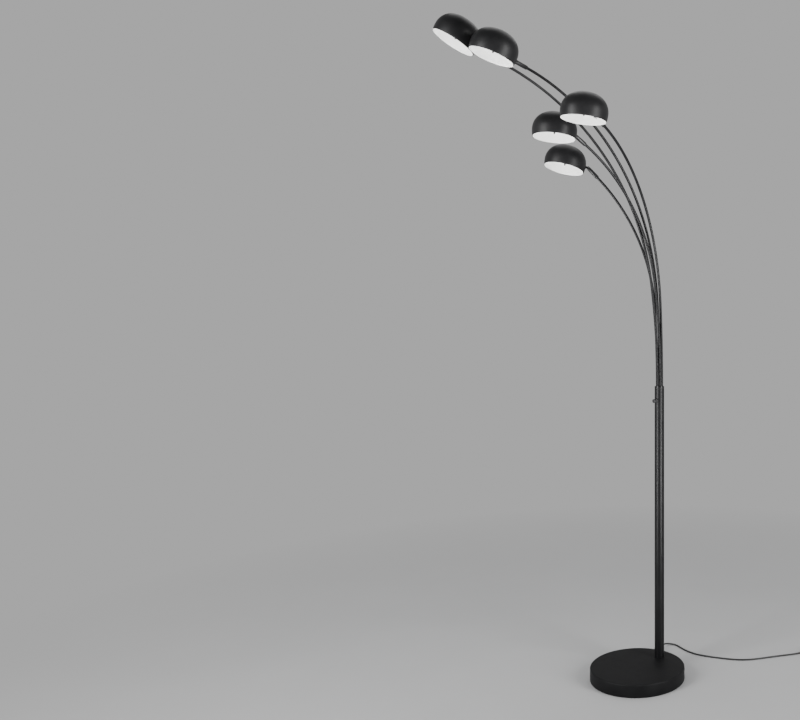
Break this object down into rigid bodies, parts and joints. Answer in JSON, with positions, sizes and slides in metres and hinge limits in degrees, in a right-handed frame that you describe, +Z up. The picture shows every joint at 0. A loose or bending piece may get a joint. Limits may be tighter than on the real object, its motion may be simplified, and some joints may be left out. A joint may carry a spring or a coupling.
{
  "type": "floor lamp",
  "caption": "Tree floor lamp: arched arms fan out of one upright on a round base, each with a small domed swivel shade.",
  "frame": {"origin": "centre of the round base's underside, on the floor", "axes": "+Z up along the upright; +X from the upright, which stands near the rear edge of the base, towards the side the arms lean over; +Y completes the right-handed frame"},
  "size_m": [1.2732, 0.6185, 1.926],
  "materials": {
    "black_paint": "matt black powder coat",
    "shade_paint": "matt black outside, white inside",
    "sleeve_black": "satin black",
    "gloss_black": "gloss black moulding",
    "plain_steel": "zinc plated",
    "cast_iron": "as cast",
    "pad_rubber": "matt",
    "dark_plastic": "satin black",
    "cord_plastic": "satin black sheath",
    "tie_plastic": "black strap",
    "holder_ceramic": "pale ceramic-like moulding",
    "bulb_glass": "clear capsule"
  },
  "bodies": {
    "lamp_stand": {"base_cover": "black_paint", "base_weight": "cast_iron", "base_pad": "pad_rubber", "base_nut": "plain_steel", "pole": "black_paint", "pole_foot": "plain_steel", "arm_plug": "gloss_black", "switch_body": "dark_plastic", "switch_nut": "plain_steel", "inner_lead": "cord_plastic", "cord_gland": "cord_plastic", "cord_run": "cord_plastic", "cord_coil": "cord_plastic", "cord_tie": "tie_plastic", "mains_plug": "cord_plastic", "plug_pins": "plain_steel"},
    "switch_knob": {"switch_knob": "dark_plastic"},
    "arm_1": {"arm_1": "black_paint", "sleeve_1": "sleeve_black"},
    "neck_1": {"knuckle_1": "sleeve_black"},
    "head_1": {"shade_1": "shade_paint", "shade_stem_1": "sleeve_black", "holder_bracket_1": "plain_steel", "lamp_holder_1": "holder_ceramic", "bulb_1": "bulb_glass"},
    "arm_2": {"arm_2": "black_paint", "sleeve_2": "sleeve_black"},
    "neck_2": {"knuckle_2": "sleeve_black"},
    "head_2": {"shade_2": "shade_paint", "shade_stem_2": "sleeve_black", "holder_bracket_2": "plain_steel", "lamp_holder_2": "holder_ceramic", "bulb_2": "bulb_glass"},
    "arm_3": {"arm_3": "black_paint", "sleeve_3": "sleeve_black"},
    "neck_3": {"knuckle_3": "sleeve_black"},
    "head_3": {"shade_3": "shade_paint", "shade_stem_3": "sleeve_black", "holder_bracket_3": "plain_steel", "lamp_holder_3": "holder_ceramic", "bulb_3": "bulb_glass"},
    "arm_4": {"arm_4": "black_paint", "sleeve_4": "sleeve_black"},
    "neck_4": {"knuckle_4": "sleeve_black"},
    "head_4": {"shade_4": "shade_paint", "shade_stem_4": "sleeve_black", "holder_bracket_4": "plain_steel", "lamp_holder_4": "holder_ceramic", "bulb_4": "bulb_glass"},
    "arm_5": {"arm_5": "black_paint", "sleeve_5": "sleeve_black"},
    "neck_5": {"knuckle_5": "sleeve_black"},
    "head_5": {"shade_5": "shade_paint", "shade_stem_5": "sleeve_black", "holder_bracket_5": "plain_steel", "lamp_holder_5": "holder_ceramic", "bulb_5": "bulb_glass"}
  },
  "joints": [
    {"name": "switch_turn", "type": "hinge", "parent": "lamp_stand", "child": "switch_knob", "pos_m": [-0.081, 0, 0.839], "axis": [1, 0, 0], "range_deg": [0, 90]},
    {"name": "arm_1_swivel", "type": "hinge", "parent": "lamp_stand", "child": "arm_1", "pos_m": [-0.088, 0, 0.87], "axis": [0, 0, 1], "range_deg": [-26, 0]},
    {"name": "neck_1_twist", "type": "hinge", "parent": "arm_1", "child": "neck_1", "pos_m": [0.5107, -0.09482, 1.83641], "axis": [0.9475, -0.1501, 0.2823], "range_deg": [-90, 90]},
    {"name": "head_1_tilt", "type": "hinge", "parent": "neck_1", "child": "head_1", "pos_m": [0.5107, -0.09482, 1.83641], "axis": [0.2147, 0.9529, -0.2142], "range_deg": [-60, 80]},
    {"name": "arm_2_swivel", "type": "hinge", "parent": "lamp_stand", "child": "arm_2", "pos_m": [-0.10247, -0.0047, 0.87], "axis": [0, 0, 1], "range_deg": [0, 22]},
    {"name": "neck_2_twist", "type": "hinge", "parent": "arm_2", "child": "neck_2", "pos_m": [0.47989, 0.02582, 1.79552], "axis": [0.9677, 0.0507, 0.247], "range_deg": [-90, 90]},
    {"name": "head_2_tilt", "type": "hinge", "parent": "neck_2", "child": "head_2", "pos_m": [0.47989, 0.02582, 1.79552], "axis": [-0.0017, 0.9808, -0.1948], "range_deg": [-70, 75]},
    {"name": "arm_3_swivel", "type": "hinge", "parent": "lamp_stand", "child": "arm_3", "pos_m": [-0.10247, 0.0047, 0.87], "axis": [0, 0, 1], "range_deg": [-10, 36]},
    {"name": "neck_3_twist", "type": "hinge", "parent": "arm_3", "child": "neck_3", "pos_m": [0.30785, 0.16221, 1.64932], "axis": [0.8817, 0.3384, 0.3289], "range_deg": [-90, 90]},
    {"name": "head_3_tilt", "type": "hinge", "parent": "neck_3", "child": "head_3", "pos_m": [0.30785, 0.16221, 1.64932], "axis": [-0.3332, 0.9399, -0.0741], "range_deg": [-75, 60]},
    {"name": "arm_4_swivel", "type": "hinge", "parent": "lamp_stand", "child": "arm_4", "pos_m": [-0.09353, 0.00761, 0.87], "axis": [0, 0, 1], "range_deg": [-1, 12]},
    {"name": "neck_4_twist", "type": "hinge", "parent": "arm_4", "child": "neck_4", "pos_m": [0.23047, -0.02074, 1.63126], "axis": [0.8448, -0.0739, 0.5299], "range_deg": [-60, 50]},
    {"name": "head_4_tilt", "type": "hinge", "parent": "neck_4", "child": "head_4", "pos_m": [0.23047, -0.02074, 1.63126], "axis": [0.0668, 0.9972, 0.0326], "range_deg": [-20, 50]},
    {"name": "arm_5_swivel", "type": "hinge", "parent": "lamp_stand", "child": "arm_5", "pos_m": [-0.09353, -0.00761, 0.87], "axis": [0, 0, 1], "range_deg": [-18, 6]},
    {"name": "neck_5_twist", "type": "hinge", "parent": "arm_5", "child": "neck_5", "pos_m": [0.07366, -0.143, 1.56245], "axis": [0.5399, -0.4372, 0.7193], "range_deg": [-90, 45]},
    {"name": "head_5_tilt", "type": "hinge", "parent": "neck_5", "child": "head_5", "pos_m": [0.07366, -0.143, 1.56245], "axis": [0.5227, 0.8439, 0.1206], "range_deg": [-70, 40]}
  ]
}
